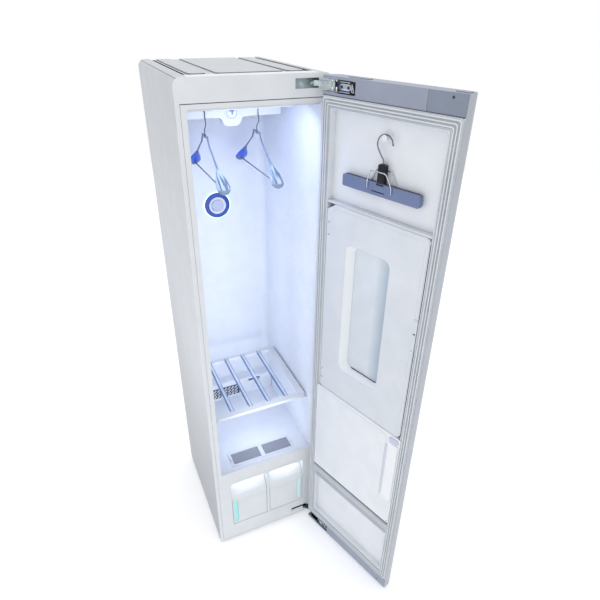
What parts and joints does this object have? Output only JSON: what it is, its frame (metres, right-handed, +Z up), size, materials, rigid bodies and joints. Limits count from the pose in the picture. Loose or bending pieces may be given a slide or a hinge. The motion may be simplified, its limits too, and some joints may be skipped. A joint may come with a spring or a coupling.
{
  "type": "clothes care steam cabinet",
  "caption": "Tall steam cabinet for clothes with an open door, moving hanger bar, two hangers, slatted shelf, two water tanks and a trouser press in the door.",
  "frame": {"origin": "middle of the footprint, on the floor", "axes": "+X right seen from the front, +Y to the back, +Z up"},
  "size_m": [0.574, 0.9868, 1.85],
  "materials": {
    "white_sheet": "white powder-coated steel sheet, satin",
    "silver_sheet": "silver grey coated steel sheet, satin",
    "white_plastic": "white moulded plastic, soft gloss",
    "liner_plastic": "light grey vacuum-formed plastic",
    "blue_plastic": "slate blue moulded plastic",
    "sky_plastic": "deep blue moulded plastic",
    "cap_plastic": "blue grey moulded plastic",
    "press_plastic": "soft white moulded plastic",
    "seal_rubber": "soft grey sealing rubber",
    "dark_plastic": "dark grey moulded plastic",
    "tank_plastic": "clear light blue moulded plastic",
    "galvanised": "galvanised steel sheet",
    "chrome_steel": "chrome plated steel",
    "cast_aluminium": "cast aluminium, raw",
    "fin_aluminium": "rolled aluminium fins",
    "black_steel": "black painted steel",
    "belt_rubber": "black toothed belt rubber",
    "dark_glass": "dark printed glass"
  },
  "bodies": {
    "cabinet": {"side_panel_left": "white_sheet", "side_panel_right": "white_sheet", "top_cover": "white_sheet", "back_panel": "galvanised", "base_tray": "galvanised", "levelling_feet": "dark_plastic", "front_bezel": "white_plastic", "front_frame": "white_plastic", "lower_front_panel": "white_plastic", "chamber_wall_left": "liner_plastic", "chamber_wall_right": "liner_plastic", "chamber_wall_back": "liner_plastic", "chamber_floor": "liner_plastic", "chamber_ceiling": "liner_plastic", "rear_duct_cover": "liner_plastic", "rear_grille": "dark_plastic", "drive_belt": "belt_rubber", "rack_motor": "black_steel", "tank_bay": "white_plastic", "air_duct": "dark_plastic", "heat_exchangers": "fin_aluminium", "blower_housing": "dark_plastic", "blower_motor": "black_steel", "compressor": "black_steel", "steam_generator": "cast_aluminium", "water_pumps": "dark_plastic", "control_box": "dark_plastic", "hinge_plates": "chrome_steel"},
    "door": {"hinge_leaves": "chrome_steel", "hinge_pins": "chrome_steel", "door_skin": "silver_sheet", "door_top_cap": "cap_plastic", "door_bottom_cap": "cap_plastic", "door_liner": "press_plastic", "door_gasket": "seal_rubber", "control_window": "dark_glass", "press_board": "press_plastic", "press_lower_panel": "press_plastic"},
    "rack": {"hanger_bar": "white_plastic"},
    "drive_wheel": {"drive_pulley": "dark_plastic"},
    "idler_wheel": {"idler_pulley": "dark_plastic"},
    "left_hanger": {"hanger_hook_left": "chrome_steel", "hanger_body_left": "blue_plastic"},
    "right_hanger": {"hanger_hook_right": "chrome_steel", "hanger_body_right": "blue_plastic"},
    "shelf": {"shelf_frame": "white_plastic", "shelf_bars": "blue_plastic"},
    "filter": {"lint_filter": "white_plastic"},
    "aroma_kit": {"aroma_ring": "sky_plastic", "aroma_cup": "white_plastic"},
    "supply_tank": {"supply_tank_body": "tank_plastic", "supply_tank_front": "white_plastic"},
    "drain_tank": {"drain_tank_body": "tank_plastic", "drain_tank_front": "white_plastic"},
    "blower_wheel": {"blower_impeller": "dark_plastic"},
    "press_lid": {"press_cover": "press_plastic"},
    "lid_latch": {"press_latch": "press_plastic"},
    "trouser_hanger": {"trouser_hook": "chrome_steel", "trouser_jaw_back": "blue_plastic"},
    "front_jaw": {"trouser_jaw_front": "blue_plastic"}
  },
  "joints": [
    {"name": "door_hinge", "type": "hinge", "parent": "cabinet", "child": "door", "pos_m": [0.2097, -0.3015, 1.824], "axis": [0, 0, 1], "range_deg": [-107.7, 4]},
    {"name": "rack_slide", "type": "slide", "parent": "cabinet", "child": "rack", "axis": [1, 0, 0], "range_m": [-0.015, 0.015]},
    {"name": "drive_spin", "type": "hinge", "parent": "cabinet", "child": "drive_wheel", "pos_m": [0.085, -0.007, 1.806], "axis": [0, 0, 1], "range_deg": [-63.39, 63.39]},
    {"name": "idler_spin", "type": "hinge", "parent": "cabinet", "child": "idler_wheel", "pos_m": [-0.085, -0.007, 1.806], "axis": [0, 0, 1], "range_deg": [-63.39, 63.39]},
    {"name": "left_hanger_swing", "type": "hinge", "parent": "rack", "child": "left_hanger", "pos_m": [-0.087, -0.007, 1.7389], "axis": [0, 1, 0], "range_deg": [-12, 12]},
    {"name": "right_hanger_swing", "type": "hinge", "parent": "rack", "child": "right_hanger", "pos_m": [0.087, -0.007, 1.7389], "axis": [0, 1, 0], "range_deg": [-12, 12]},
    {"name": "shelf_slide", "type": "slide", "parent": "cabinet", "child": "shelf", "axis": [0, -1, 0], "range_m": [0, 0.07]},
    {"name": "filter_lift", "type": "slide", "parent": "cabinet", "child": "filter", "axis": [0, 0, 1], "range_m": [0, 0.06]},
    {"name": "aroma_pull", "type": "slide", "parent": "cabinet", "child": "aroma_kit", "axis": [0, -1, 0], "range_m": [0, 0.03]},
    {"name": "supply_tank_slide", "type": "slide", "parent": "cabinet", "child": "supply_tank", "axis": [0, -1, 0], "range_m": [0, 0.22]},
    {"name": "drain_tank_slide", "type": "slide", "parent": "cabinet", "child": "drain_tank", "axis": [0, -1, 0], "range_m": [0, 0.22]},
    {"name": "blower_spin", "type": "hinge", "parent": "cabinet", "child": "blower_wheel", "pos_m": [-0.09, 0.176, 0.21], "axis": [0, 1, 0], "continuous": true},
    {"name": "press_lid_hinge", "type": "hinge", "parent": "door", "child": "press_lid", "pos_m": [0.19238, -0.33768, 0.806], "axis": [0, 0, -1], "range_deg": [0, 95]},
    {"name": "lid_latch_press", "type": "slide", "parent": "press_lid", "child": "lid_latch", "axis": [0.9527, 0.304, 0], "range_m": [0, 0.004], "stiffness_N_per_m": 600},
    {"name": "trouser_hanger_swing", "type": "hinge", "parent": "door", "child": "trouser_hanger", "pos_m": [0.25118, -0.51206, 1.7195], "axis": [0.9527, 0.304, 0], "range_deg": [-8, 8]},
    {"name": "front_jaw_hinge", "type": "hinge", "parent": "trouser_hanger", "child": "front_jaw", "pos_m": [0.25118, -0.51206, 1.602], "axis": [-0.304, 0.9527, 0], "range_deg": [0, 12]}
  ],
  "couplings": [
    {"joint": "drive_spin", "follows": "rack_slide", "rad_per_m": 71.429},
    {"joint": "idler_spin", "follows": "rack_slide", "rad_per_m": 71.429}
  ]
}
